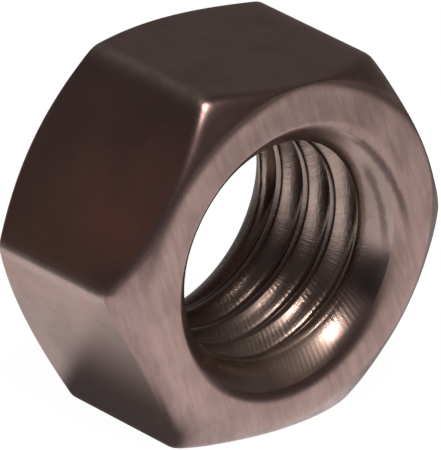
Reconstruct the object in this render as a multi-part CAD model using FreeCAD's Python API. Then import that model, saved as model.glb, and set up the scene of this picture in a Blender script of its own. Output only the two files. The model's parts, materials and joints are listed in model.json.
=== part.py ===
"""Plain hexagon nut, M10 x 1.5 coarse thread, 14 mm across flats, small series.

One piece of steel.  The bore runs along Y, the nut rests on one of its flats and +Z is up.
The origin is on the bore's axis, halfway through the thickness.  Lengths are in millimetres
and angles in degrees.
"""
import FreeCAD, Part
import math
import os

# Hexagon and thickness
ACROSS_FLATS = 14.0
THICKNESS = 8.0
CORNER_RADIUS = 0.5        # rounding of the six long corners

# Crown: the cone turned on both ends, which takes the corners off
CROWN_INSET = 0.45         # how far the end face's round edge lies inside the flats
CROWN_ANGLE = 34.0         # between the cone and the end face

# Bore: left at the tapping diameter, so its wall is the crest of the thread
THREAD_DIAMETER = 10.0
THREAD_PITCH = 1.5
COUNTERSINK_STEP = 0.25    # how far the mouth's edge lies outside the thread
COUNTERSINK_ANGLE = 90.0   # included angle of the cone at both mouths

# Number of sides, and the half angle of one side seen from the bore's axis
SIDES = 6
HALF_SIDE_ANGLE = math.pi / SIDES

AXIS = FreeCAD.Vector(0, 1, 0)
FRONT_Y = -THICKNESS / 2
BACK_Y = THICKNESS / 2

SHARP_CORNER_RADIUS = ACROSS_FLATS / 2 / math.cos(HALF_SIDE_ANGLE)
END_FACE_RADIUS = ACROSS_FLATS / 2 - CROWN_INSET
MOUTH_RADIUS = THREAD_DIAMETER / 2 + COUNTERSINK_STEP

# A metric internal thread is 5/8 of its fundamental triangle deep on each side
TRIANGLE_HEIGHT = THREAD_PITCH * math.sqrt(3) / 2
TAPPING_RADIUS = THREAD_DIAMETER / 2 - 5 / 8 * TRIANGLE_HEIGHT


def ring_point(radius, y):
    """Point of a half profile that is turned about the bore's axis."""
    return FreeCAD.Vector(radius, y, 0)


def straight_edge(start, end):
    """Straight edge between two points of the half profile."""
    return Part.LineSegment(start, end).toShape()


def sloped_edge(start, end):
    """Straight edge drawn as a spline, so the cone it turns out meets the flats in splines too."""
    spline = Part.BSplineCurve()
    spline.buildFromPolesMultsKnots([start, end], [2, 2], [0, 1], False, 1)
    return spline.toShape()


def hexagon_bar():
    """Length of hexagonal bar with flats at top and bottom and rounded long corners."""
    corners = []
    for side in range(SIDES + 1):
        angle = 2 * side * HALF_SIDE_ANGLE
        x = SHARP_CORNER_RADIUS * math.cos(angle)
        z = SHARP_CORNER_RADIUS * math.sin(angle)
        corners.append(FreeCAD.Vector(x, FRONT_Y, z))
    bar = Part.Face(Part.makePolygon(corners)).extrude(AXIS * THICKNESS)
    long_edges = [edge for edge in bar.Edges if runs_along_bore(edge)]
    return bar.makeFillet(CORNER_RADIUS, long_edges)


def runs_along_bore(edge):
    """True for a straight edge that is parallel to the bore."""
    return abs(edge.tangentAt(edge.FirstParameter).dot(AXIS)) > 0.999


def crown_envelope():
    """Turned body, coned at both ends, that the hexagonal bar is trimmed to."""
    drop = (SHARP_CORNER_RADIUS - END_FACE_RADIUS) * math.tan(math.radians(CROWN_ANGLE))
    front_centre = ring_point(0, FRONT_Y)
    front_rim = ring_point(END_FACE_RADIUS, FRONT_Y)
    front_foot = ring_point(SHARP_CORNER_RADIUS, FRONT_Y + drop)
    back_foot = ring_point(SHARP_CORNER_RADIUS, BACK_Y - drop)
    back_rim = ring_point(END_FACE_RADIUS, BACK_Y)
    back_centre = ring_point(0, BACK_Y)
    profile = Part.Wire([
        straight_edge(front_centre, front_rim),
        sloped_edge(front_rim, front_foot),
        straight_edge(front_foot, back_foot),
        sloped_edge(back_foot, back_rim),
        straight_edge(back_rim, back_centre),
        straight_edge(back_centre, front_centre),
    ])
    return Part.Face(profile).revolve(FreeCAD.Vector(0, 0, 0), AXIS, 360)


def tapping_hole():
    """Cylinder that the bore is drilled with, at the thread's minor diameter."""
    return Part.makeCylinder(TAPPING_RADIUS, THICKNESS, FreeCAD.Vector(0, FRONT_Y, 0), AXIS)


def countersink(mouth_y, inward):
    """Cone from a mouth's edge to its point on the axis, on the side that inward points to."""
    depth = MOUTH_RADIUS / math.tan(math.radians(COUNTERSINK_ANGLE / 2))
    return Part.makeCone(MOUTH_RADIUS, 0, depth, FreeCAD.Vector(0, mouth_y, 0), inward)


def hex_nut():
    """The finished nut: crowned hexagon, drilled through and countersunk at both mouths."""
    blank = hexagon_bar().common(crown_envelope())
    drilled = blank.cut(tapping_hole())
    front_sunk = drilled.cut(countersink(FRONT_Y, AXIS))
    return front_sunk.cut(countersink(BACK_Y, -AXIS))


def main():
    """Write the nut's STEP file."""
    os.makedirs("parts", exist_ok=True)
    nut = hex_nut().Solids[0]
    nut.exportStep(os.path.join("parts", "hex_nut.step"))


main()
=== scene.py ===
"""Studio scene of one plain hexagon nut of bare steel, M10 x 1.5, 14 mm across flats.

The nut stands on one of its flats with its bore along Y.  Its visible surface is one closed
skin worked out with numpy: a hexagon with rounded long corners, turned crowns at both ends,
countersunk mouths and a real helical thread.  Lengths are in metres and angles in radians
unless a name says otherwise.
"""
import json
import logging
import math
from dataclasses import dataclass, field
from enum import Enum
from typing import Any, Sequence, Union

import bmesh
import bpy
import numpy as np
from mathutils import Matrix, Vector


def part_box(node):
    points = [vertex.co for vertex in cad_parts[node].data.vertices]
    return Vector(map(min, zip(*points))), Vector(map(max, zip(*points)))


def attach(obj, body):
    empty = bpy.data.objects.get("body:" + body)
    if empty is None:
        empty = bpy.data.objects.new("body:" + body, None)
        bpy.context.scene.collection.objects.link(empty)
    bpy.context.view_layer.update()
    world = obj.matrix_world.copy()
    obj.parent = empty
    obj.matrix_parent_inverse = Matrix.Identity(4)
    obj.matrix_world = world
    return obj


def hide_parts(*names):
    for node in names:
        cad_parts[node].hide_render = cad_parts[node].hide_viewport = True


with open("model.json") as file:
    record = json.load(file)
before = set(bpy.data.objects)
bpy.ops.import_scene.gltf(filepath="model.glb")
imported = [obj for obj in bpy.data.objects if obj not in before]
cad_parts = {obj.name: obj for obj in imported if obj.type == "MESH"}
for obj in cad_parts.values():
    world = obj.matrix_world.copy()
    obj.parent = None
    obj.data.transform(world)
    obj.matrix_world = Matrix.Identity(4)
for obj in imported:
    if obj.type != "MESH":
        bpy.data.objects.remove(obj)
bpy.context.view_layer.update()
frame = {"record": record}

log = logging.getLogger("hex_nut")

MM = 0.001
WHITE = (1.0, 1.0, 1.0)
Colour = tuple[float, float, float]
Feed = Union[float, Sequence[float], "Signal"]


# ---------------------------------------------------------------------- node trees


class Signal:
    """A node's output that arithmetic can be written on; each step of it adds a node."""

    def __init__(self, bench: "Bench", socket: bpy.types.NodeSocket) -> None:
        """Wrap an output of the bench's tree."""
        self.bench, self.socket = bench, socket

    def __add__(self, other: Feed) -> "Signal":
        """The sum."""
        return self.bench.maths("ADD", self, other)

    def __sub__(self, other: Feed) -> "Signal":
        """This less the other."""
        return self.bench.maths("SUBTRACT", self, other)

    def __rsub__(self, other: Feed) -> "Signal":
        """The other less this."""
        return self.bench.maths("SUBTRACT", other, self)

    def __mul__(self, other: Feed) -> "Signal":
        """The product."""
        return self.bench.maths("MULTIPLY", self, other)

    def __rtruediv__(self, other: Feed) -> "Signal":
        """The other divided by this."""
        return self.bench.maths("DIVIDE", other, self)

    def __abs__(self) -> "Signal":
        """The value without its sign."""
        return self.bench.maths("ABSOLUTE", self)


class Bench:
    """Lays out the nodes of one tree and joins them.

    A value given to an input is either a plain number or colour, which is set on the socket,
    or a signal, which is linked to it.
    """

    def __init__(self, tree: bpy.types.NodeTree) -> None:
        """Start work on a tree, emptied first."""
        self.tree = tree
        tree.nodes.clear()

    def feed(self, target: bpy.types.NodeSocket, value: Feed) -> None:
        """Set or link one input.

        Args:
            target: The input socket.
            value: A number, a colour, a vector, or the signal that drives it.
        """
        if isinstance(value, Signal):
            self.tree.links.new(value.socket, target)
        elif isinstance(value, (int, float)):
            target.default_value = value
        else:
            parts = tuple(value)
            target.default_value = parts + (1.0,) * (len(target.default_value) - len(parts))

    def node(self, kind: str, inputs: dict[Any, Feed] | None = None, **settings: Any) -> bpy.types.Node:
        """Add one node.

        Args:
            kind: The node's type name, after ShaderNode.
            inputs: Values for its inputs, by name or place.
            settings: The node's own properties.

        Returns:
            The new node.
        """
        made = self.tree.nodes.new("ShaderNode" + kind)
        for name, value in settings.items():
            setattr(made, name, value)
        for key, value in (inputs or {}).items():
            self.feed(made.inputs[key], value)
        return made

    def out(self, kind: str, output: Any, inputs: dict[Any, Feed] | None = None, **settings: Any) -> Signal:
        """Add one node and take the named output."""
        return Signal(self, self.node(kind, inputs, **settings).outputs[output])

    def maths(self, operation: str, *values: Feed, clamp: bool = False) -> Signal:
        """Result of one arithmetic node."""
        return self.out("Math", 0, dict(enumerate(values)), operation=operation, use_clamp=clamp)

    def vector(self, operation: str, *values: Feed) -> Signal:
        """Result of one vector arithmetic node."""
        result = "Value" if operation in ("LENGTH", "DOT_PRODUCT") else "Vector"
        return self.out("VectorMath", result, dict(enumerate(values)), operation=operation)

    def ramp(self, value: Feed, low: float, high: float, to_low: Feed = 0.0, to_high: Feed = 1.0) -> Signal:
        """Smooth step that carries low..high onto to_low..to_high and stays there beyond them."""
        inputs = {"Value": value, "From Min": low, "From Max": high, "To Min": to_low, "To Max": to_high}
        return self.out("MapRange", "Result", inputs, interpolation_type="SMOOTHSTEP")

    def blend(self, factor: Feed, first: Feed, second: Feed, kind: str = "MIX") -> Signal:
        """Mix of two colours: the first where the factor is 0, the second laid over it where it's 1."""
        settings = {"data_type": "RGBA", "blend_type": kind, "clamp_factor": True}
        return self.out("Mix", 2, {0: factor, 6: first, 7: second}, **settings)

    def shaded(self, colour: Feed, shade: Signal) -> Signal:
        """A colour times a shade that is the same for red, green and blue."""
        return self.blend(1.0, colour, self.together(shade, shade, shade), "MULTIPLY")

    def noise(self, where: Feed, scale: Feed, detail: float = 3.0, roughness: float = 0.5) -> Signal:
        """Noise, mostly between 0.3 and 0.7, with scale cycles for each unit of the coordinates."""
        inputs = {"Vector": where, "Scale": scale, "Detail": detail, "Roughness": roughness}
        return self.out("TexNoise", "Fac", inputs)

    def place(self) -> Signal:
        """Object coordinates in millimetres."""
        spot = self.out("TexCoord", "Object")
        return self.out("VectorMath", 0, {0: spot, "Scale": 1 / MM}, operation="SCALE")

    def attribute(self, name: str, output: str = "Fac") -> Signal:
        """A value that the skin itself carries."""
        return self.out("Attribute", output, attribute_name=name)

    def apart(self, where: Signal) -> tuple[Signal, ...]:
        """The three parts of a vector."""
        return tuple(Signal(self, part) for part in self.node("SeparateXYZ", {0: where}).outputs)

    def together(self, x: Feed, y: Feed, z: Feed) -> Signal:
        """A vector from its three parts."""
        return self.out("CombineXYZ", 0, {0: x, 1: y, 2: z})

    def length(self, x: Feed, y: Feed, z: Feed) -> Signal:
        """The length of a vector with these parts."""
        return self.vector("LENGTH", self.together(x, y, z))


Signals = dict[str, Signal]
FLOAT = "NodeSocketFloat"
COLOUR = "NodeSocketColor"
VECTOR = "NodeSocketVector"
GREY = (0.5, 0.5, 0.5, 1.0)


class Effect:
    """A shader node group that several finishes share.

    A child class names its inputs and outputs and lays out its nodes in make(); the group is
    built the first time it is asked for and placed in each material with that material's values.
    """

    name = ""
    takes: dict[str, tuple[str, Any]] = {}
    gives: dict[str, str] = {}

    @classmethod
    def group(cls) -> bpy.types.NodeTree:
        """The node group, built once.

        Returns:
            The shader node tree of this effect.
        """
        made = bpy.data.node_groups.get(cls.name)
        if made is not None:
            return made
        made = bpy.data.node_groups.new(cls.name, "ShaderNodeTree")
        for name, (kind, value) in cls.takes.items():
            made.interface.new_socket(name, in_out="INPUT", socket_type=kind).default_value = value
        for name, kind in cls.gives.items():
            made.interface.new_socket(name, in_out="OUTPUT", socket_type=kind)
        bench = Bench(made)
        entry = made.nodes.new("NodeGroupInput").outputs
        leave = made.nodes.new("NodeGroupOutput").inputs
        for name, value in cls.make(bench, {name: Signal(bench, entry[name]) for name in cls.takes}).items():
            bench.feed(leave[name], value)
        return made

    @classmethod
    def make(cls, bench: Bench, entry: Signals) -> Signals:
        """Lay out the group's nodes between its inputs and what feeds its outputs, both by name."""
        raise NotImplementedError

    @classmethod
    def put(cls, bench: Bench, **values: Feed) -> Signals:
        """Place the group in a material with values for its inputs; gives its outputs by name."""
        made = bench.node("Group", values, node_tree=cls.group())
        return {name: Signal(bench, made.outputs[name]) for name in cls.gives}


class ToolMarks(Effect):
    """Fine parallel lines that a tool or die leaves, as long streaks of noise.

    The noise is read at coordinates that the finish has stretched along the cut, so it is
    narrow across the marks and long along them.
    """

    name = "tool marks"
    takes = {"Path": (VECTOR, (0, 0, 0)), "Fineness": (FLOAT, 4.0), "Depth": (FLOAT, 1.0)}
    gives = {"Lines": FLOAT, "Height": FLOAT}
    # how much finer the second layer is, the first one's share, and the noise that is nought and one
    finer = 3.7
    coarse_share = 0.55
    contrast = (0.34, 0.66)

    @classmethod
    def make(cls, bench: Bench, entry: Signals) -> Signals:
        """A little over half of one layer of noise and the rest of a finer one, with more contrast.

        Args:
            bench: The bench of the group's tree.
            entry: The group's inputs, by name.

        Returns:
            What feeds its outputs, by name.
        """
        coarse = bench.noise(entry["Path"], entry["Fineness"], 2.0, 0.55)
        fine = bench.noise(entry["Path"], entry["Fineness"] * cls.finer, 3.0, 0.6)
        both = coarse * cls.coarse_share + fine * (1 - cls.coarse_share)
        lines = bench.ramp(both, *cls.contrast)
        return {"Lines": lines, "Height": lines * entry["Depth"]}


class Overlay(Effect):
    """A second colour laid over the metal where a child class's cover shows, which is duller too."""

    takes = {"Colour": (COLOUR, GREY), "Over": (COLOUR, GREY), "Roughness": (FLOAT, 0.4),
             "Amount": (FLOAT, 0.5)}
    gives = {"Colour": COLOUR, "Roughness": FLOAT}
    dulling = 0.10

    @classmethod
    def cover(cls, bench: Bench, entry: Signals) -> Signal:
        """How much of the second colour a place may show, 0 to 1."""
        raise NotImplementedError

    @classmethod
    def make(cls, bench: Bench, entry: Signals) -> Signals:
        """The cover times the amount mixes the colours and adds to the roughness.

        Args:
            bench: The bench of the group's tree.
            entry: The group's inputs, by name.

        Returns:
            What feeds its outputs, by name.
        """
        mask = bench.maths("MULTIPLY", cls.cover(bench, entry), entry["Amount"], clamp=True)
        colour = bench.blend(mask, entry["Colour"], entry["Over"])
        return {"Colour": colour, "Roughness": entry["Roughness"] + mask * cls.dulling}


class Handling(Overlay):
    """Stains and smears from handling: broad soft patches with smaller specks inside them."""

    name = "handling stains"
    takes = {**Overlay.takes, "Patch": (FLOAT, 2.0)}
    # how much finer the specks are than the patches, the noise between which each comes in, and
    # what the specks leave of a patch
    finer = 9.0
    patchy = (0.42, 0.68)
    speckled = (0.25, 0.6)
    least = 0.55

    @classmethod
    def cover(cls, bench: Bench, entry: Signals) -> Signal:
        """Patches from one noise field, thinned by a second one that is nine times finer.

        Args:
            bench: The bench of the group's tree.
            entry: The group's inputs, by name.

        Returns:
            How much of the stain a place may show, 0 to 1.
        """
        spot = bench.place()
        broad = bench.noise(spot, 1.0 / entry["Patch"], 4.0, 0.55)
        speck = bench.noise(spot, cls.finer / entry["Patch"], 3.0, 0.6)
        return bench.ramp(broad, *cls.patchy) * bench.ramp(speck, *cls.speckled, cls.least, 1.0)


class EdgeWearAndGlint(Overlay):
    """Edges rubbed bright, broken up by noise; the lighter colour is partly a painted highlight along the
    edges.
    """

    name = "edge wear and glint"
    # speckles in a millimetre, the noise between which they come in, and what they leave of the wear
    grain = 1.7
    speckled = (0.3, 0.62)
    least = 0.6

    @classmethod
    def cover(cls, bench: Bench, entry: Signals) -> Signal:
        """The skin's own closeness to an edge times a speckle."""
        speckle = bench.noise(bench.place(), cls.grain, 4.0, 0.6)
        return bench.attribute("edge") * bench.ramp(speckle, *cls.speckled, cls.least, 1.0)


class DarkSpiralLines(Effect):
    """Two dark, slightly sunk lines that spiral outwards from the front mouth.

    A line's radius is its base, plus its even part times its run, plus its bend times a power
    of the run.  The run goes from 0 at its start to 1 after its sweep, as its direction falls.
    """

    name = "dark spiral lines"
    takes = {"Colour": (COLOUR, GREY), "Amount": (FLOAT, 0.6), "Depth": (FLOAT, 0.01)}
    gives = {"Colour": COLOUR, "Height": FLOAT}
    tint = (0.25, 0.23, 0.25)
    # for each line: start and sweep in degrees; base, even part and bend in millimetres; the
    # bend's power; half width and height of the inner end in millimetres; strength
    lines = ((55, 56, 5.0, 0.25, 0.41, 3.0, 0.22, -3.2, 1.0),
             (35, 44, 4.66, 0.0, 0.27, 2.0, 0.15, -3.0, 0.75))
    # waves in a millimetre that make it ragged and how far they move it; half width of its dark
    # core and the fade at its inner end, in millimetres; parts of the run where it comes and goes
    ragged = (2.6, 0.12)
    core = 0.03
    inner_fade = 0.25
    comes = (-0.12, 0.12)
    goes = (0.72, 1.12)

    @classmethod
    def make(cls, bench: Bench, entry: Signals) -> Signals:
        """Nearness to the lines, ragged with noise and faded at their ends, darkens and sinks.

        Args:
            bench: The bench of the group's tree.
            entry: The group's inputs, by name.

        Returns:
            What feeds its outputs, by name.
        """
        spot = bench.place()
        x, y, z = bench.apart(spot)
        turn = bench.maths("ARCTAN2", z, x)
        waves, reach = cls.ragged
        radius = bench.length(x, 0.0, z) + (bench.noise(spot, waves, 3.0) - 0.5) * reach
        masks = []
        for start, sweep, base, even, bend, power, width, inner, strength in cls.lines:
            run = (math.radians(start) - turn) * (1 / math.radians(sweep))
            bent = bench.maths("POWER", bench.maths("MAXIMUM", run, 0.0), power) * bend
            near = bench.ramp(abs(radius - (run * even + bent + base)), cls.core, width, strength, 0.0)
            ends = bench.ramp(run, *cls.comes) * bench.ramp(run, *cls.goes, 1.0, 0.0)
            masks.append(near * ends * bench.ramp(y, inner - cls.inner_fade, inner, 1.0, 0.0))
        mask = bench.maths("MAXIMUM", *masks)
        dark = bench.blend(1.0, entry["Colour"], cls.tint, "MULTIPLY")
        colour = bench.blend(mask * entry["Amount"], entry["Colour"], dark)
        return {"Colour": colour, "Height": mask * (entry["Depth"] * -1.0)}


# ---------------------------------------------------------------------- finishes


class Zone(Enum):
    """Which tool made a part of the skin, with the place of its material on the piece."""

    DRAWN = 0
    TURNED = 1
    TAPPED = 2


@dataclass(frozen=True)
class Blotch:
    """One patch of another colour at a known place, used for stains, painted shade and painted reflections.

    Attributes:
        middle: Its place in millimetres.
        reach: How far it spreads in millimetres, to where it is half as strong.
        fade: Width of its soft edge in millimetres.
        colour: The metal's colour in it.
        amount: How strong it is, 0 to 1.
        dull: Roughness that it adds.
    """

    middle: tuple[float, float, float]
    reach: float
    fade: float
    colour: Colour
    amount: float
    dull: float = 0.0

    # waves of its edge in a millimetre, and how far they move it as a share of the fade
    waves = 0.5
    uneven = 1.3

    def lay(self, bench: Bench, colour: Signal, roughness: Signal) -> tuple[Signal, Signal]:
        """Lay the patch over the metal, fading out at an uneven edge.

        Args:
            bench: The bench of the material's tree.
            colour: The colour without it.
            roughness: The roughness without it.

        Returns:
            The colour and the roughness with it.
        """
        spot, half = bench.place(), self.fade / 2
        drift = (bench.noise(spot, self.waves, 3.0, 0.5) - 0.5) * (self.fade * self.uneven)
        away = bench.vector("LENGTH", bench.vector("SUBTRACT", spot, self.middle)) + drift
        mask = bench.ramp(away, self.reach - half, self.reach + half, self.amount, 0.0)
        if self.dull:
            roughness = roughness + mask * self.dull
        return bench.blend(mask, colour, self.colour), roughness


@dataclass(frozen=True)
class Steel:
    """Bare steel as one tool left it.

    Attributes:
        name: The material's name.
        colour: The clean metal.
        stain: The metal where it is stained.
        bright: The metal where it is rubbed, lighter, which is partly a painted highlight along the edges.
        roughness: Of the clean metal.
        staining: How much of the stain shows, 0 to 1.
        patch: Size of a stained patch in millimetres.
        wear: How much the edges are rubbed and given a painted highlight, 0 to 1.
        fineness: Tool marks per millimetre.
        marks: How much the marks change the colour, 0 to 1.
        relief: Height of the marks in millimetres.
        gloss_change: How much the marks change the roughness.
        spiral_darkness: How dark the two spiral lines are, 0 to 1.
        blotches: Patches at known places: stains, painted shade and painted reflections.
    """

    name: str
    colour: Colour
    stain: Colour
    bright: Colour
    roughness: float
    staining: float
    patch: float
    wear: float
    fineness: float
    marks: float
    relief: float
    gloss_change: float
    spiral_darkness: float = 0.0
    blotches: tuple[Blotch, ...] = ()

    # how much the marks brighten for what they darken
    brightening = 0.35

    def path(self, bench: Bench) -> Signal:
        """Coordinates stretched along this tool's cut."""
        raise NotImplementedError

    def cuts(self, bench: Bench) -> tuple[Signal, Signal]:
        """Lines and heights of the tool's marks."""
        made = ToolMarks.put(bench, Path=self.path(bench), Fineness=self.fineness, Depth=self.relief)
        return made["Lines"], made["Height"]

    def local(self, bench: Bench, colour: Signal, roughness: Signal) -> tuple[Signal, Signal]:
        """Colour and roughness after what is special to one place, here nothing."""
        return colour, roughness

    def material(self) -> bpy.types.Material:
        """Build the material.

        Returns:
            The finished material.
        """
        made = bpy.data.materials.new(self.name)
        made.use_nodes = True
        bench = Bench(made.node_tree)
        lines, height = self.cuts(bench)
        stained = Handling.put(bench, Colour=self.colour, Over=self.stain, Roughness=self.roughness,
                               Patch=self.patch, Amount=self.staining)
        colour, rough = self.local(bench, stained["Colour"], stained["Roughness"])
        for blotch in self.blotches:
            colour, rough = blotch.lay(bench, colour, rough)
        if self.spiral_darkness:
            line = DarkSpiralLines.put(bench, Colour=colour, Amount=self.spiral_darkness)
            colour, height = line["Colour"], height + line["Height"]
        brightest = 1.0 + self.brightening * self.marks
        lined = bench.shaded(colour, bench.ramp(lines, 0.0, 1.0, 1.0 - self.marks, brightest))
        change = bench.ramp(lines, 0.0, 1.0, self.gloss_change, -self.gloss_change)
        # rubbed edges, lighter: partly real wear, partly a painted highlight along the edges
        worn = EdgeWearAndGlint.put(bench, Colour=lined, Over=self.bright, Amount=self.wear, Roughness=rough + change)
        normal = bench.out("Bump", 0, {"Height": height, "Strength": 1.0, "Distance": MM})
        metal = bench.out("BsdfPrincipled", 0, {
            "Base Color": worn["Colour"],
            "Roughness": worn["Roughness"],
            "Metallic": 1.0,
            "Normal": normal,
        })
        bench.node("OutputMaterial", {"Surface": metal})
        return made


@dataclass(frozen=True)
class DrawnSteel(Steel):
    """Flats of cold drawn hexagon bar, faintly lined along its length.

    Attributes:
        squeeze: What the coordinates keep along the bar.
    """

    squeeze: float = 0.07

    def path(self, bench: Bench) -> Signal:
        """Object coordinates squeezed along the bar."""
        x, y, z = bench.apart(bench.place())
        return bench.together(x, y * self.squeeze, z)


@dataclass(frozen=True)
class TurnedSteel(Steel):
    """End faces and crowns cut on a lathe and then rubbed on a stone, lined straight across.

    Attributes:
        lay: Direction of the lines in X and Z.
        squeeze: What the coordinates keep along the lines, and along Y.
        face_radii: Radii in millimetres between which the face grows brighter outwards.
        face_shades: Its shades there.
        crown_painted_shade: Painted shade on the crowns, darker and bluer: what they keep of the colour.
        crown_ends: Heights in millimetres, from the middle, between which a crown ends.
        crown_starts: Radii in millimetres between which it starts.
    """

    lay: tuple[float, float] = (0.38, -0.925)
    squeeze: tuple[float, float] = (0.10, 0.5)
    face_radii: tuple[float, float] = (5.1, 6.7)
    face_shades: tuple[float, float] = (0.90, 1.07)
    crown_painted_shade: Colour = (0.92, 0.92, 0.96)
    crown_ends: tuple[float, float] = (3.75, 3.97)
    crown_starts: tuple[float, float] = (6.0, 6.4)

    def path(self, bench: Bench) -> Signal:
        """Object coordinates turned to the lay: whole across it, squeezed along it and along Y.

        Args:
            bench: The bench of the material's tree.

        Returns:
            The coordinates.
        """
        spot, (x, z) = bench.place(), self.lay
        across, along = (bench.vector("DOT_PRODUCT", spot, way) for way in ((z, 0.0, -x), (x, 0.0, z)))
        return bench.together(across, along * self.squeeze[0], bench.apart(spot)[1] * self.squeeze[1])

    def local(self, bench: Bench, colour: Signal, roughness: Signal) -> tuple[Signal, Signal]:
        """Darken the face towards the mouth and lighten it outwards, and paint shade on the crowns.

        Args:
            bench: The bench of the material's tree.
            colour: The colour without either.
            roughness: The roughness, which stays.

        Returns:
            The colour and the roughness.
        """
        x, y, z = bench.apart(bench.place())
        radius = bench.length(x, 0.0, z)
        colour = bench.shaded(colour, bench.ramp(radius, *self.face_radii, *self.face_shades))
        crown = bench.ramp(abs(y), *self.crown_ends, 1.0, 0.0) * bench.ramp(radius, *self.crown_starts)
        # the crowns get painted shade: a darker, bluer colour
        return bench.blend(crown, colour, bench.blend(1.0, colour, self.crown_painted_shade, "MULTIPLY")), roughness


@dataclass(frozen=True)
class TappedSteel(Steel):
    """Thread cut with a tap: lined along its path, and ribbed across it where the tap chattered.

    Attributes:
        lines: Lines along the thread for each millimetre of its profile.
        lines_relief: Their height, as a share of the height of those across it.
        around: Scale of the marks' coordinates round the bore, and along it for each millimetre.
        wander: How the lines change with X and with Z.
        ribs: Chatter ribs in a turn.
        rib_relief: Their height in millimetres.
        rib_lean: How far they turn about the bore for each millimetre along it.
        rib_patches: Patches of ribs in a millimetre, and the noise between which they come in.
        rib_heights: Z in millimetres between which the ribs fade, and what stays above.
        rib_least: What stays of them between the patches.
        untouched: Parts of the skin that the tap leaves alone, the drilled crests and the turned
            countersinks, with their colour and roughness.
        unlined: Value of the lines that stands for none.
    """

    lines: float = 9.0
    lines_relief: float = 0.6
    around: tuple[float, float] = (5.0, 0.35)
    wander: tuple[float, float] = (0.11, 0.07)
    ribs: int = 140
    rib_relief: float = 0.0012
    rib_lean: float = 0.11
    rib_patches: tuple[float, float, float] = (1.3, 0.35, 0.62)
    rib_heights: tuple[float, float, float] = (-2.4, -1.0, 0.10)
    rib_least: float = 0.15
    # the crests' darker colour is partly the drilled finish and partly painted shade
    untouched: tuple[tuple[str, Colour, float], ...] = (
        ("crest", (0.34, 0.255, 0.225), 0.25), ("sunk", (0.38, 0.27, 0.25), 0.28))
    unlined: float = 0.74

    def path(self, bench: Bench) -> Signal:
        """Direction round the bore, with a slow change along it.

        Args:
            bench: The bench of the material's tree.

        Returns:
            The direction's parts and Y, each at its own scale.
        """
        x, y, z = bench.apart(bench.place())
        a, _, b = bench.apart(bench.vector("NORMALIZE", bench.together(x, 0.0, z)))
        round_it, along_it = self.around
        return bench.together(a * round_it, y * along_it, b * round_it)

    def along(self, bench: Bench) -> Signal:
        """The skin's own place in the thread, with a slow change round the bore.

        Args:
            bench: The bench of the material's tree.

        Returns:
            The place in millimetres.
        """
        x, _, z = bench.apart(bench.place())
        a, b, _ = bench.apart(bench.attribute("lead", "Vector"))
        return bench.together(a, b, x * self.wander[0] + z * self.wander[1])

    def cuts(self, bench: Bench) -> tuple[Signal, Signal]:
        """Marks across the thread and along it, half of each, and ribs; the marks stop at the countersinks.

        Args:
            bench: The bench of the material's tree.

        Returns:
            Lines and heights.
        """
        across = ToolMarks.put(bench, Path=self.path(bench), Fineness=self.fineness, Depth=self.relief)
        lower = self.relief * self.lines_relief
        along = ToolMarks.put(bench, Path=self.along(bench), Fineness=self.lines, Depth=lower)
        tapped = 1.0 - bench.attribute("sunk")
        lines = (across["Lines"] * 0.5 + along["Lines"] * 0.5 - self.unlined) * tapped + self.unlined
        return lines, (across["Height"] + along["Height"]) * tapped + self.chatter(bench)

    def chatter(self, bench: Bench) -> Signal:
        """Height of even ribs that lean across the cut: a sine of the direction, strong only low down.

        Args:
            bench: The bench of the material's tree.

        Returns:
            The height in millimetres.
        """
        spot, most = bench.place(), self.rib_relief
        patches, bare, full = self.rib_patches
        low, high, above = self.rib_heights
        x, y, z = bench.apart(spot)
        wave = bench.maths("SINE", (bench.maths("ARCTAN2", z, x) - y * self.rib_lean) * float(self.ribs))
        strength = bench.ramp(bench.noise(spot, patches, 3.0, 0.6), bare, full, self.rib_least * most, most)
        return wave * strength * bench.ramp(z, low, high, 1.0, above)

    def local(self, bench: Bench, colour: Signal, roughness: Signal) -> tuple[Signal, Signal]:
        """Turn to the drill's finish on the crests, whose darker colour is partly painted shade, and the
        lathe's on the countersinks.

        Args:
            bench: The bench of the material's tree.
            colour: The tapped metal.
            roughness: Its roughness.

        Returns:
            The colour and the roughness.
        """
        for name, metal, gloss in self.untouched:
            part = bench.attribute(name)
            colour = bench.blend(part, colour, metal)
            roughness = roughness * (1.0 - part) + part * gloss
        return colour, roughness


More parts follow.
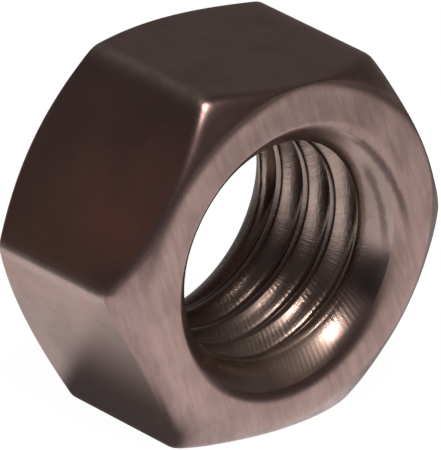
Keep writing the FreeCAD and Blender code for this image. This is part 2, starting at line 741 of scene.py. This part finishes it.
FINISHES = {
    Zone.DRAWN: DrawnSteel(
        "drawn_steel", colour=(0.34, 0.221, 0.202), stain=(0.25, 0.16, 0.14), bright=(0.58, 0.48, 0.43),
        roughness=0.28, staining=0.58, patch=2.4, wear=0.8, fineness=4.0, marks=0.04, relief=0.0003,
        gloss_change=0.006, blotches=(
            # painted reflection: a warm, lighter glow on the upper left flat
            Blotch((-7.3, 0.6, 1.2), 3.0, 4.6, (0.47, 0.265, 0.215), 0.7),
            Blotch((-6.5, -1.9, 2.6), 1.8, 3.8, (0.66, 0.285, 0.225), 0.68),
        )),
    Zone.TURNED: TurnedSteel(
        "turned_steel", colour=(0.385, 0.256, 0.233), stain=(0.27, 0.185, 0.165), bright=(0.5, 0.38, 0.34),
        roughness=0.28, staining=0.42, patch=1.5, wear=0.15, fineness=3.2, marks=0.11, relief=0.0004,
        gloss_change=0.02, spiral_darkness=0.85, blotches=(
            Blotch((3.0, -4.0, 5.2), 1.0, 1.5, (0.25, 0.16, 0.145), 0.62),
            Blotch((6.6, -4.0, 0.4), 0.5, 1.0, (0.25, 0.16, 0.14), 0.5),
        )),
    Zone.TAPPED: TappedSteel(
        "tapped_steel", colour=(0.38, 0.285, 0.25), stain=(0.23, 0.16, 0.135), bright=(0.58, 0.48, 0.42),
        roughness=0.2, staining=0.4, patch=1.8, wear=0.2, fineness=4.5, marks=0.16, relief=0.003,
        gloss_change=0.03, spiral_darkness=0.85, blotches=(
            Blotch((-1.2, -0.4, -4.6), 3.2, 2.6, (0.4, 0.32, 0.28), 0.75, 0.26),
            # painted shade: darker deeper in the bore, which dims the crests' highlights there
            Blotch((2.5, 1.1, -3.5), 2.9, 2.6, (0.205, 0.153, 0.137), 0.78, 0.04),
            # painted reflection: a dark patch on the right lip, where it reflects something dark
            Blotch((4.85, -3.5, -1.9), 1.15, 0.9, (0.085, 0.066, 0.062), 0.92, 0.05),
            # painted shade: a darker right lip, which dims the floor's reflection there
            Blotch((4.7, -3.6, 1.9), 1.8, 1.8, (0.28, 0.2, 0.18), 0.9),
            Blotch((1.4, -3.2, -4.5), 1.1, 1.3, (0.36, 0.265, 0.225), 0.7, 0.22),
        )),
}


# ---------------------------------------------------------------------- the nut


def smooth_max(first: np.ndarray, second: np.ndarray, width: float) -> np.ndarray:
    """Larger of two surfaces, with the crease between them rounded.

    The larger one, plus a quarter of the width times the square of how near the two are, which
    is 1 where they meet and 0 where they are a width or more apart.

    Args:
        first: Heights of one surface.
        second: Heights of the other.
        width: How far the rounding reaches.

    Returns:
        The joined surface.
    """
    near = np.maximum(1 - np.abs(first - second) / width, 0)
    return np.maximum(first, second) + near**2 * width / 4


def soft_step(value: np.ndarray) -> np.ndarray:
    """Smooth step from 0 to 1 as the value goes from 0 to 1."""
    share = np.clip(value, 0, 1)
    return share * share * (3 - 2 * share)


def offset_circle(radius: float, centre: tuple[float, float], angle: np.ndarray) -> np.ndarray:
    """Distance from the axis to a circle whose centre is off the axis, in each direction.

    The centre's part along the direction, plus the root of the squared radius less the
    squared part across it.

    Args:
        radius: The circle's radius.
        centre: Its centre in X and Z.
        angle: Directions about the axis, from +X towards +Z.

    Returns:
        The distances.
    """
    along = centre[0] * np.cos(angle) + centre[1] * np.sin(angle)
    across = centre[1] * np.cos(angle) - centre[0] * np.sin(angle)
    return along + np.sqrt(radius**2 - across**2)


def rounded(before: np.ndarray, corner: np.ndarray, after: np.ndarray, cuts: tuple[Any, Any],
            limits: tuple[float, float], steps: int) -> np.ndarray:
    """Rounds one corner of the section in every direction at once.

    A parabola from a point on one leg to a point on the other, with the corner as the point
    it bends towards: (1-t) squared times the start, plus 2t(1-t) times the corner, plus
    t squared times the end.

    Args:
        before: The corner before this one, as radius and height for each direction.
        corner: The corner itself.
        after: The next corner.
        cuts: How far from the corner the rounding starts and ends.
        limits: The most of each leg that it may take.
        steps: Number of points.

    Returns:
        Points of shape (steps, 2, directions).
    """
    ends = []
    for other, cut, limit in zip((before, after), cuts, limits):
        leg = other - corner
        length = np.maximum(np.hypot(leg[0], leg[1]), 1e-9)
        ends.append(corner + leg * np.minimum(cut / length, limit))
    t = np.linspace(0, 1, steps)[:, None, None]
    return (1 - t) ** 2 * ends[0] + 2 * t * (1 - t) * corner + t**2 * ends[1]


def leg_rows(start: np.ndarray, end: np.ndarray, shares: Sequence[float]) -> np.ndarray:
    """Points along a straight leg of the section, at the given shares of its length."""
    t = np.asarray(shares)[:, None, None]
    return (1 - t) * start + t * end


@dataclass(frozen=True)
class Thread:
    """Internal metric thread.

    Attributes:
        crest_radius: Radius to the flat tops of the thread, the bore's wall.
        root_radius: Radius to the bottom of the groove.
        pitch: Advance for each turn.
        phase: Where in the pitch the thread starts, 0 to 1.
        wear: Rounding of the crests' edges.
        fillet: Rounding at the bottom of the groove.
    """

    crest_radius: float
    root_radius: float = 5.0 * MM
    pitch: float = 1.5 * MM
    phase: float = 0.42
    wear: float = 0.16 * MM
    fillet: float = 0.20 * MM

    # stations across half a pitch, measured from the middle of the crest in pitches
    stations = (0.0, 0.0625, 0.105, 0.125, 0.145, 0.1875, 0.25, 0.3125, 0.375, 0.415, 0.4375, 0.46, 0.5)

    def rows(self, low: float, high: float) -> np.ndarray:
        """Heights of the rows that follow the thread, seen at the first direction.

        Args:
            low: Height where the front countersink starts.
            high: Height where the back one ends, one pitch further on.

        Returns:
            Rising heights strictly between low and high.
        """
        half = np.array(self.stations)
        shares = np.unique(np.concatenate([0.5 - half, 0.5 + half[:-1]]))
        shares = shares[shares < 1 - 1e-9]
        most = math.ceil((high - low) / self.pitch) + 1
        turns = np.arange(-most, most + 1)[:, None]
        heights = ((turns + shares[None, :] - self.phase) * self.pitch).ravel()
        return heights[(heights > low) & (heights < high)]

    def groove(self, y: np.ndarray, angle: np.ndarray) -> np.ndarray:
        """Radius that the tap reaches, which is the wall wherever it is outside the drilled hole.

        The distance from the middle of the crest, less half the crest's flat of a quarter
        pitch, times the root of three for flanks at 30 degrees, added to the crest's radius
        and held softly below the root's.

        Args:
            y: Heights along the bore.
            angle: Directions about it.

        Returns:
            The radii.
        """
        turn = (y / self.pitch + angle / (2 * math.pi) + self.phase) % 1.0
        away = np.abs(turn - 0.5) * self.pitch
        flank = self.crest_radius + (away - self.pitch / 8) * math.sqrt(3)
        return -smooth_max(-flank, np.full_like(flank, -self.root_radius), self.fillet)

    def lead(self, points: np.ndarray) -> np.ndarray:
        """Place of each point in the thread's pitch, as a point on a circle a pitch round.

        The circle joins the start of the pitch to its end, so a pattern read on it follows
        the thread through every turn without a seam.

        Args:
            points: Points of the skin.

        Returns:
            Places in millimetres, one row of three for each point.
        """
        angle = np.arctan2(points[:, 2], points[:, 0])
        turn = (points[:, 1] / self.pitch + angle / (2 * math.pi) + self.phase) * 2 * math.pi
        ring = self.pitch / (2 * math.pi) / MM
        return ring * np.stack([np.cos(turn), np.sin(turn), 0 * turn], axis=1)


@dataclass
class HexNut:
    """The whole nut: one piece of steel, turned, countersunk and tapped.

    Attributes:
        across_flats: Distance between opposite flats.
        thickness: Height of the nut along its bore.
        mouth_radius: Outer edge of both countersinks.
        thread: The thread in the bore.
        corner_radius: Rounding of the six long corners.
        crown_inset: How far the end face's round edge lies inside the flats.
        crown_slope: Drop of the crown for each unit outwards.
        run_out: How far the front crown is off the bore's axis, in X and Z.
        roll: Rounded edge of the countersinks: its depth, and its reach over the face.
        throat: Rounding between countersink and drilled hole, front and back.
        closing: Depths from which the thread starts to open, and by which it is whole.
        low_closing: How much deeper both lie low in the bore.
        low_throat: Further rounding of the throat there.
        low_wear: Further rounding of the crests low in the bore.
        packed: Share of the groove's depth that dirt fills there.
        face_softness: Rounding between end face and crown, on each.
        arc_softness: Rounding between crown and flats, on each, at the worn front.
        tip_wear: How much further it reaches at the arcs' tips.
        tip_reach: How far from the tips, as an angle.
        crisp: Rounding of the arcs at the back, which saw less wear.
        name: The piece's name.
    """

    across_flats: float
    thickness: float
    mouth_radius: float
    thread: Thread
    corner_radius: float = 0.5 * MM
    crown_inset: float = 0.40 * MM
    crown_slope: float = math.tan(math.radians(34.0))
    run_out: tuple[float, float] = (0.13 * MM, 0.30 * MM)
    roll: tuple[float, float] = (0.40 * MM, 0.50 * MM)
    throat: tuple[float, float] = (0.45 * MM, 0.52 * MM)
    closing: tuple[float, float] = (0.55 * MM, 1.35 * MM)
    low_closing: float = 0.5 * MM
    low_throat: float = 0.35 * MM
    low_wear: float = 0.12 * MM
    packed: float = 0.35
    face_softness: tuple[float, float] = (0.34 * MM, 0.28 * MM)
    arc_softness: tuple[float, float] = (0.42 * MM, 0.30 * MM)
    tip_wear: float = 0.6
    tip_reach: float = math.radians(4.0)
    crisp: float = 0.15 * MM
    name: str = "nut_steel_body"
    piece: bpy.types.Object | None = field(default=None, repr=False)

    # where wear is one-sided: the direction of the most, in degrees, and the cosine where it begins
    mouth_side = (-30.0, -0.6)
    thread_side = (-60.0, 0.1)
    crest_side = (-75.0, 0.1)

    @classmethod
    def from_frame(cls) -> "HexNut":
        """Take the sizes from the CAD node's box and from the mount in its bore.

        Returns:
            The nut, not built yet.
        """
        low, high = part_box("hex_nut")
        bore = next(m for m in frame["record"]["mounts"] if m["name"] == "thread")["dims"]
        crest = bore["r_mm"] * MM
        thickness = high.y - low.y
        mouth = crest + (thickness - bore["length_mm"] * MM) / 2
        return cls(high.z - low.z, thickness, mouth, Thread(crest))

    def directions(self) -> np.ndarray:
        """Directions about the bore, crowded at the six corners.

        Returns:
            Angles from 0 to just under a full turn.
        """
        near = np.radians([0.0, 0.45, 0.9, 1.35, 1.8, 2.1, 2.6, 3.4, 4.4])
        rest = np.linspace(math.radians(5.5), math.radians(30.0), 23)
        half = np.concatenate([near, rest])
        sector = np.concatenate([half, math.radians(60.0) - half[-2:0:-1]])
        return (np.arange(6)[:, None] * math.radians(60.0) + sector[None, :]).ravel()

    def outline(self, angle: np.ndarray) -> np.ndarray:
        """Distance from the axis to the hexagon, with its corners rounded.

        On a flat it is half the width across flats over the cosine of the angle from the
        flat's middle; past the tangent point it is the corner's circle.

        Args:
            angle: Directions about the bore.

        Returns:
            The distances.
        """
        sixth = math.radians(60.0)
        off = np.abs((angle % sixth) - sixth / 2)
        half = self.across_flats / 2
        flat = half / np.cos(off)
        reach = (half - self.corner_radius) * math.tan(sixth / 2)
        centre = (half - self.corner_radius) / math.cos(sixth / 2)
        turn = sixth / 2 - off
        inside = np.maximum(self.corner_radius**2 - (centre * np.sin(turn)) ** 2, 0)
        corner = centre * np.cos(turn) + np.sqrt(inside)
        return np.where(half * np.tan(off) > reach, corner, flat)

    @staticmethod
    def battered(angle: np.ndarray, middle: float, edge: float) -> np.ndarray:
        """Share of a one-sided wear: a smooth step of the cosine from its middle."""
        whole = 0.9
        return soft_step((np.cos(angle - math.radians(middle)) - edge) / (whole - edge))

    def drilled(self, y: np.ndarray, angle: np.ndarray) -> np.ndarray:
        """Radius of the untapped hole with its countersinks, at a height along it.

        The cone's radius falls by the depth.  Its rolled edge adds the edge's reach over the
        face times the square of one less the root of the depth's share of the roll; it is
        widest low on the right, and a quarter as wide opposite.  The cone then runs softly
        into the plain hole.

        Args:
            y: Heights along the bore.
            angle: Directions about it.

        Returns:
            The radii.
        """
        deep, wide = self.roll[0], self.roll[1] * (0.25 + 0.75 * self.battered(angle, *self.mouth_side))
        depth = np.maximum(self.thickness / 2 - np.abs(y), 0)
        cone = self.mouth_radius - depth + wide * (1 - np.sqrt(np.clip(depth / deep, 0, 1))) ** 2
        throat = np.where(y < 0, *self.throat) + self.low_throat * self.battered(angle, *self.thread_side)
        return smooth_max(cone, np.full_like(cone, self.thread.crest_radius), throat)

    def tapped(self, y: np.ndarray, angle: np.ndarray) -> tuple[np.ndarray, np.ndarray]:
        """Radii of the tap's groove and of the hole it was cut in.

        The groove's depth under the crests grows by a smooth step between the closing depths,
        as the rolled edge has pressed its first turn shut, and dirt fills a part of it low down.

        Args:
            y: Heights along the bore.
            angle: Directions about it.

        Returns:
            The two radii; the wall is the larger.
        """
        depth = np.maximum(self.thickness / 2 - np.abs(y), 0)
        late = self.low_closing * self.battered(angle, *self.thread_side)
        start, whole = (edge + late for edge in self.closing)
        crest = self.thread.crest_radius
        under = self.thread.groove(y, angle) - crest
        spared = 1 - self.packed * self.battered(angle, *self.crest_side)
        opened = np.where(under > 0, soft_step((depth - start) / (whole - start)) * spared, 1.0)
        return crest + under * opened, self.drilled(y, angle)

    def lip(self, angle: np.ndarray, inner: float) -> np.ndarray:
        """Rows of the front mouth's rolled edge: their depth falls from inner to 0 as a square does."""
        y = inner * np.linspace(1, 0, 9)[:, None] ** 2 - self.thickness / 2 + 0 * angle
        return np.stack([self.drilled(y, angle), y], axis=1)

    def bore_rows(self, angle: np.ndarray, low: float, high: float) -> tuple[np.ndarray, np.ndarray]:
        """Rows of the tapped bore, which climb with the thread.

        Each row keeps one place in the thread, so its height falls by a pitch in a turn, and
        it is held between low and high where it runs into a countersink.  The radius is the
        larger of the drilled hole and the tap's groove, with the crease rounded.

        Args:
            angle: Directions about the bore.
            low: Height of the front end of these rows.
            high: Height of the back end.

        Returns:
            Points of shape (rows, 2, directions), back to front, and for each row the row
            that it runs on into after a full turn.
        """
        thread = self.thread
        inner = thread.rows(low, high + thread.pitch)
        start = np.concatenate([[low], inner, [high + thread.pitch]])
        y = np.clip(start[:, None] - thread.pitch * angle[None, :] / (2 * math.pi), low, high)
        snap = 0.006 * MM
        y = np.where(y - low < snap, low, np.where(high - y < snap, high, y))
        wear = thread.wear + self.low_wear * self.battered(angle, *self.crest_side)
        radius = smooth_max(*self.tapped(y, angle[None, :]), wear[None, :])
        rows = np.stack([radius, y], axis=1)
        count = len(start)
        per_turn = len(thread.stations) * 2 - 2
        runs_into = np.maximum(np.arange(count) - per_turn, 0)
        runs_into[0], runs_into[-1] = 0, count - 1
        return rows[::-1], (count - 1 - runs_into)[::-1]

    def section(self, angle: np.ndarray) -> tuple[np.ndarray, np.ndarray, np.ndarray, np.ndarray]:
        """The nut's closed section in every direction.

        Args:
            angle: Directions about the bore.

        Returns:
            Points of shape (rows, 2, directions), the row each row runs on into, the zone of
            the band after each row, and how close each row is to an edge.
        """
        half, sixth = self.thickness / 2, math.radians(60.0)
        hexagon = self.outline(angle)
        face = half + 0 * angle
        rim_front = offset_circle(self.across_flats / 2 - self.crown_inset, self.run_out, angle)
        rim_back = offset_circle(self.across_flats / 2 - self.crown_inset, (0.0, 0.0), angle)
        inner = self.roll[0] / 2
        bore, runs_into = self.bore_rows(angle, -half + inner, half - inner)
        lip_front = self.lip(angle, inner)
        lip_back = lip_front[::-1] * np.array([1, -1])[:, None]

        crown_f = np.stack([rim_front, -face])
        arc_f = np.stack([hexagon, -face + (hexagon - rim_front) * self.crown_slope])
        arc_b = np.stack([hexagon, face - (hexagon - rim_back) * self.crown_slope])
        crown_b = np.stack([rim_back, face])

        parts, zones, edges = [], [], []

        def lay(rows: np.ndarray, zone: Zone, edge: float | np.ndarray) -> None:
            """Add rows to the section.

            Args:
                rows: Radius and height of each row in each direction.
                zone: Which tool made the band after each row.
                edge: How close each row is to an edge.
            """
            parts.append(rows)
            zones.extend([zone.value] * len(rows))
            edges.append(np.broadcast_to(edge, (len(rows),)))

        steps = 7
        middle = steps // 2 + 1
        hump = np.sin(np.linspace(0, math.pi, steps)) ** 2
        legs = (0.06, 0.2, 0.4, 0.6, 0.8, 0.94)
        long_leg = (0.02, 0.06, 0.14, 0.26, 0.38, 0.5, 0.62, 0.74, 0.86, 0.94, 0.98)
        face_cut = self.face_softness
        off_tip = (angle + sixth / 2) % sixth - sixth / 2
        tip = 1 + self.tip_wear * np.exp(-((off_tip / self.tip_reach) ** 2))
        worn = tuple(softness * tip for softness in self.arc_softness)
        corners = [
            (lip_front[-1], crown_f, arc_f, face_cut, (0.85, 0.42)),
            (crown_f, arc_f, arc_b, worn, (0.52, 0.45)),
            (arc_f, arc_b, crown_b, (self.crisp, self.crisp), (0.45, 0.52)),
            (arc_b, crown_b, lip_back[0], face_cut[::-1], (0.42, 0.85)),
        ]
        bends = [lip_front, *(rounded(*corner, steps) for corner in corners), lip_back]
        turned, drawn = Zone.TURNED, Zone.DRAWN
        kinds = [(turned, turned, 0.0), (turned, turned, 0.3), (turned, drawn, 0.1), (drawn, turned, 0.1),
                 (turned, turned, 0.3), (Zone.TAPPED, Zone.TAPPED, 0.0)]
        for place, (bend, (zone_in, zone, edge)) in enumerate(zip(bends, kinds)):
            lay(bend[:middle], zone_in, hump[:middle] * edge if edge else 0.0)
            lay(bend[middle:], zone, hump[middle:] * edge if edge else 0.0)
            if place + 1 < len(bends):
                shares = long_leg if place == 2 else legs
                lay(leg_rows(bend[-1], bends[place + 1][0], shares), zone, 0.0)
        outer = sum(len(p) for p in parts)
        lay(bore, Zone.TAPPED, 0.0)
        onward = np.concatenate([np.arange(outer), outer + runs_into])
        return np.concatenate(parts), onward, np.array(zones), np.concatenate(edges)

    def build(self) -> "HexNut":
        """Make the skin's mesh and stand it in for the CAD node.

        The section is turned about Y: X is the radius times the cosine and Z the radius times
        the sine of the direction.  Quads join each row to the next and each direction to the
        next, and the last direction joins the row that the thread has climbed to.

        Returns:
            The nut itself.
        """
        angle = self.directions()
        rows, onward, zones, edges = self.section(angle)
        count, turns = rows.shape[0], len(angle)
        radius, y = rows[:, 0], rows[:, 1]
        points = np.stack([radius * np.cos(angle), y, radius * np.sin(angle)], axis=-1).reshape(-1, 3)

        here = np.arange(count)[:, None] * turns + np.arange(turns)[None, :]
        beside = np.roll(here, -1, axis=1)
        beside[:, -1] = onward * turns
        above, above_beside = np.roll(here, -1, axis=0), np.roll(beside, -1, axis=0)
        quads = np.stack([here, above, above_beside, beside], axis=-1).reshape(-1, 4)

        mesh = bpy.data.meshes.new(self.name)
        mesh.from_pydata(points, [], quads.tolist())
        mesh.polygons.foreach_set("material_index", np.repeat(zones, turns).astype(np.int32))
        mesh.polygons.foreach_set("use_smooth", np.ones(len(quads), bool))
        sunk, crest = self.untapped(points)
        close = np.maximum(np.repeat(edges, turns), self.long_edges(points))
        for name, kind, part, values in (("edge", "FLOAT", "value", close), ("sunk", "FLOAT", "value", sunk),
                                         ("crest", "FLOAT", "value", crest),
                                         ("lead", "FLOAT_VECTOR", "vector", self.thread.lead(points))):
            data = mesh.attributes.new(name, kind, "POINT").data
            data.foreach_set(part, values.ravel().astype(np.float32))
        self.close_seams(mesh)
        self.piece = bpy.data.objects.new(self.name, mesh)
        bpy.context.scene.collection.objects.link(self.piece)
        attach(self.piece, "root")
        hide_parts("hex_nut")
        return self

    def untapped(self, points: np.ndarray) -> tuple[np.ndarray, np.ndarray]:
        """How much each point lies on a countersink, and how much on the crest of the thread.

        Both grow as the drilled hole comes to stand outside the tap's groove.  They share
        that part by how far the hole is wider there than the plain bore.

        Args:
            points: Points of the skin.

        Returns:
            Values from 0 to 1 for the countersinks and for the crests.
        """
        angle = np.arctan2(points[:, 2], points[:, 0])
        groove, hole = self.tapped(points[:, 1], angle)
        blur, wider = 0.12 * MM, 0.5 * MM
        spared = soft_step((hole - groove) / blur + 0.5)
        wide = soft_step((hole - self.thread.crest_radius) / wider - 0.2)
        return spared * wide, spared * (1 - wide)

    def long_edges(self, points: np.ndarray) -> np.ndarray:
        """How close each point is to one of the six long corners.

        A bell curve of the distance along the flat from the corner's line.

        Args:
            points: Points of the skin.

        Returns:
            Values from 0 to 1.
        """
        sixth, reach = math.radians(60.0), 0.30 * MM
        turn = np.arctan2(points[:, 2], points[:, 0]) % sixth
        radius = np.hypot(points[:, 0], points[:, 2])
        away = np.minimum(turn, sixth - turn) * radius
        return np.exp(-((away / reach) ** 2)) * (radius > self.across_flats / 2)

    @staticmethod
    def close_seams(mesh: bpy.types.Mesh) -> None:
        """Merge the points that the rows share at the countersinks.

        Args:
            mesh: The mesh to close.
        """
        same, vanishing = 1e-7, 1e-8
        work = bmesh.new()
        work.from_mesh(mesh)
        bmesh.ops.remove_doubles(work, verts=work.verts, dist=same)
        bmesh.ops.dissolve_degenerate(work, edges=work.edges, dist=vanishing)
        work.to_mesh(mesh)
        work.free()
        mesh.validate()
        mesh.update()

    def dress(self) -> "HexNut":
        """Give the three zones their steel.

        Returns:
            The nut itself.
        """
        for zone in Zone:
            self.piece.data.materials.append(FINISHES[zone].material())
        return self


# ---------------------------------------------------------------------- the studio


@dataclass(frozen=True)
class Lamp:
    """A round soft lamp that faces the nut.

    Attributes:
        name: The lamp's name.
        towards: Direction from the nut to the lamp.
        distance: How far away it hangs.
        radius: Half its width.
        radiance: How bright its face is, where 1 shows as white.
        colour: The light's tint.
    """

    name: str
    towards: tuple[float, float, float]
    distance: float
    radius: float
    radiance: float
    colour: Colour

    def build(self) -> None:
        """Hang the lamp.

        The power of an even disc is pi times its area times its radiance.
        """
        data = bpy.data.lights.new(self.name, "AREA")
        data.shape = "DISK"
        data.size = 2 * self.radius
        data.color = self.colour
        data.energy = math.pi * math.pi * self.radius**2 * self.radiance
        lamp = bpy.data.objects.new(self.name, data)
        away = Vector(self.towards).normalized()
        lamp.matrix_world = Matrix.LocRotScale(away * self.distance, (-away).to_track_quat("-Z", "Y"), None)
        lamp.visible_camera = False
        bpy.context.scene.collection.objects.link(lamp)


@dataclass(frozen=True)
class Studio:
    """Pale floor, dim walls with a pale foot, and a soft lamp.

    Attributes:
        floor_height: Height of the floor.
        floor_width: Width of the floor.
        floor_colour: How much light the floor gives back.
        floor_white: How brightly it shows to the camera.
        glow_seen: How much of that brightness is a glow, without light and shadow.
        glow_mirrored: The same in the steel.
        pool_middle: Middle of its pool of light in millimetres.
        pool_fall: Distances in millimetres over which the pool falls evenly, and its levels there.
        pool_edge: The same for its edge, as shares.
        wall: Brightness of the walls above their foot.
        far_wall: Brightness of the wall behind the nut, to the right.
        far_turn: The sums of X and Y, of a direction, between which it takes over.
        foot: Brightness of the foot of the walls.
        foot_rise: Degrees between which the foot gives way to the wall.
        lamp: The lamp.
    """

    floor_height: float
    floor_width: float = 3.0
    floor_colour: Colour = (0.88, 0.87, 0.86)
    floor_white: float = 1.15
    glow_seen: float = 0.85
    glow_mirrored: float = 0.9
    pool_middle: tuple[float, float] = (0.0, -15.0)
    pool_fall: tuple[float, float, float, float] = (0.0, 26.0, 1.20, 0.90)
    pool_edge: tuple[float, float, float, float] = (27.0, 46.0, 1.0, 0.12)
    wall: Colour = (0.095, 0.087, 0.087)
    far_wall: Colour = (0.150, 0.145, 0.145)
    far_turn: tuple[float, float] = (0.3, 1.3)
    foot: Colour = (0.95, 0.92, 0.90)
    foot_rise: tuple[float, float] = (-0.5, 2.5)
    lamp: Lamp = Lamp("front_softbox", (-0.30, -0.42, 0.857), 0.9, 0.13, 17.0, (1.0, 0.94, 0.86))

    def build(self) -> None:
        """Make the floor, the walls and the lamp."""
        half = self.floor_width / 2
        corners = [(x * half, y * half, self.floor_height) for x, y in ((-1, -1), (1, -1), (1, 1), (-1, 1))]
        mesh = bpy.data.meshes.new("studio_floor")
        mesh.from_pydata(corners, [], [(0, 1, 2, 3)])
        mesh.materials.append(self.floor_material())
        floor = bpy.data.objects.new("studio_floor", mesh)
        bpy.context.scene.collection.objects.link(floor)
        self.walls()
        self.lamp.build()

    def floor_material(self) -> bpy.types.Material:
        """Pale matt floor that shows as white and keeps the nut's shadow.

        To the camera most of it is a white glow and the rest takes light and shadow.  In the
        steel most is the pool's glow.  It is clear from below.

        Returns:
            The material.
        """
        made = bpy.data.materials.new("studio_floor")
        made.use_nodes = True
        bench = Bench(made.node_tree)
        seen = bench.out("LightPath", "Is Camera Ray")
        mirrored = bench.maths("MAXIMUM", *(bench.out("LightPath", f"Is {kind} Ray")
                                            for kind in ("Glossy", "Transmission")))
        matt = bench.out("BsdfDiffuse", 0, {"Color": self.floor_colour})
        level = bench.ramp(mirrored, 0.0, 1.0, self.floor_white, self.pool(bench))
        glow = bench.out("Emission", 0, {"Color": WHITE, "Strength": level})
        share = bench.maths("ADD", seen * self.glow_seen, mirrored * self.glow_mirrored, clamp=True)
        white = bench.out("MixShader", 0, {0: share, 1: matt, 2: glow})
        below = bench.out("NewGeometry", "Backfacing")
        both = bench.out("MixShader", 0, {0: below, 1: white, 2: bench.out("BsdfTransparent", 0)})
        bench.node("OutputMaterial", {"Surface": both})
        return made

    def pool(self, bench: Bench) -> Signal:
        """Light that the floor gives to the steel: a painted pool of light before the nut, with painted shade
        in two places.

        It falls evenly with the distance from the pool's middle, then quickly at its edge.
        Painted shade makes it lower beside the nut on the right, and a painted shadow under its left side
        makes it fall to a tenth.

        Args:
            bench: The bench of the floor's tree.

        Returns:
            The floor's brightness at each place.
        """
        x, y, _ = bench.apart(bench.place())
        away = bench.length(x - self.pool_middle[0], y - self.pool_middle[1], 0.0)
        level = bench.ramp(away, *self.pool_fall) * bench.ramp(away, *self.pool_edge)
        # painted shade: dimmer beside the nut on the right
        beyond = bench.ramp(x, 3.0, 6.5, 0.0, 0.60) * bench.ramp(y, -5.5, -2.5)
        # painted shadow under the nut's left side, where its flat overhangs the floor
        beside = bench.ramp(x, -8.0, -5.2, 0.0, 0.88) * bench.ramp(x, -4.2, -3.0, 1.0, 0.0)
        under = beside * bench.ramp(abs(y), 3.3, 4.6, 1.0, 0.0)
        return level * (1.0 - beyond) * (1.0 - under)

    def walls(self) -> None:
        """Backdrop: pale at and below the horizon, dim above it, white to the camera."""
        world = bpy.data.worlds.new("studio_walls")
        world.use_nodes = True
        bench = Bench(world.node_tree)
        right, back, up = bench.apart(bench.out("TexCoord", "Generated"))
        high = bench.ramp(up, *(math.sin(math.radians(rise)) for rise in self.foot_rise))
        behind = bench.ramp(right + back, *self.far_turn)
        colour = bench.blend(high, self.foot, bench.blend(behind, self.wall, self.far_wall))
        shown = bench.blend(bench.out("LightPath", "Is Camera Ray"), colour, WHITE)
        bench.node("OutputWorld", {"Surface": bench.out("Background", 0, {"Color": shown, "Strength": 1.0})})
        bpy.context.scene.world = world


@dataclass(frozen=True)
class Viewpoint:
    """Where the camera stands.

    Attributes:
        azimuth: Degrees round the nut; 0 looks along +Y.
        elevation: Degrees above the horizon.
        roll: Degrees that the camera leans.
        distance: From the point it looks at.
        lift: How far above the nut's middle it looks.
        sensor: Width of the sensor in millimetres.
        lens: Focal length in millimetres.
        clip: Nearest and farthest that it sees.
    """

    azimuth: float = -42.07
    elevation: float = 22.92
    roll: float = 3.489
    distance: float = 431.6 * MM
    lift: float = 0.042 * MM
    sensor: float = 36.0
    lens: float = 946.2
    clip: tuple[float, float] = (0.01, 10.0)

    def build(self) -> None:
        """Set up the camera.

        The line of sight comes from the two angles; the picture's sides are the level
        direction across it and its normal, turned by the roll.
        """
        turn, rise, lean = (math.radians(a) for a in (self.azimuth, self.elevation, self.roll))
        back = Vector((math.sin(turn) * math.cos(rise), -math.cos(turn) * math.cos(rise), math.sin(rise)))
        across = (-back).cross(Vector((0, 0, 1))).normalized()
        upright = across.cross(-back)
        side = across * math.cos(lean) + upright * math.sin(lean)
        top = upright * math.cos(lean) - across * math.sin(lean)
        data = bpy.data.cameras.new("product_camera")
        data.sensor_width, data.lens = self.sensor, self.lens
        data.clip_start, data.clip_end = self.clip
        camera = bpy.data.objects.new("product_camera", data)
        axes = Matrix((side, top, back)).transposed().to_4x4()
        camera.matrix_world = Matrix.Translation(back * self.distance + top * self.lift) @ axes
        bpy.context.scene.collection.objects.link(camera)
        bpy.context.scene.camera = camera


# ---------------------------------------------------------------------- main


def main() -> None:
    """Build the nut, the studio and the camera, in that order."""
    logging.basicConfig(level=logging.INFO, format="%(name)s: %(message)s")
    bpy.context.scene.view_settings.view_transform = "Standard"
    nut = HexNut.from_frame().build().dress()
    log.info("%s: %d faces", nut.name, len(nut.piece.data.polygons))
    low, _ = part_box("hex_nut")
    Studio(floor_height=low.z).build()
    log.info("studio: floor at %.3f mm", low.z / MM)
    Viewpoint().build()
    log.info("camera set")


if __name__ == "__main__":
    main()
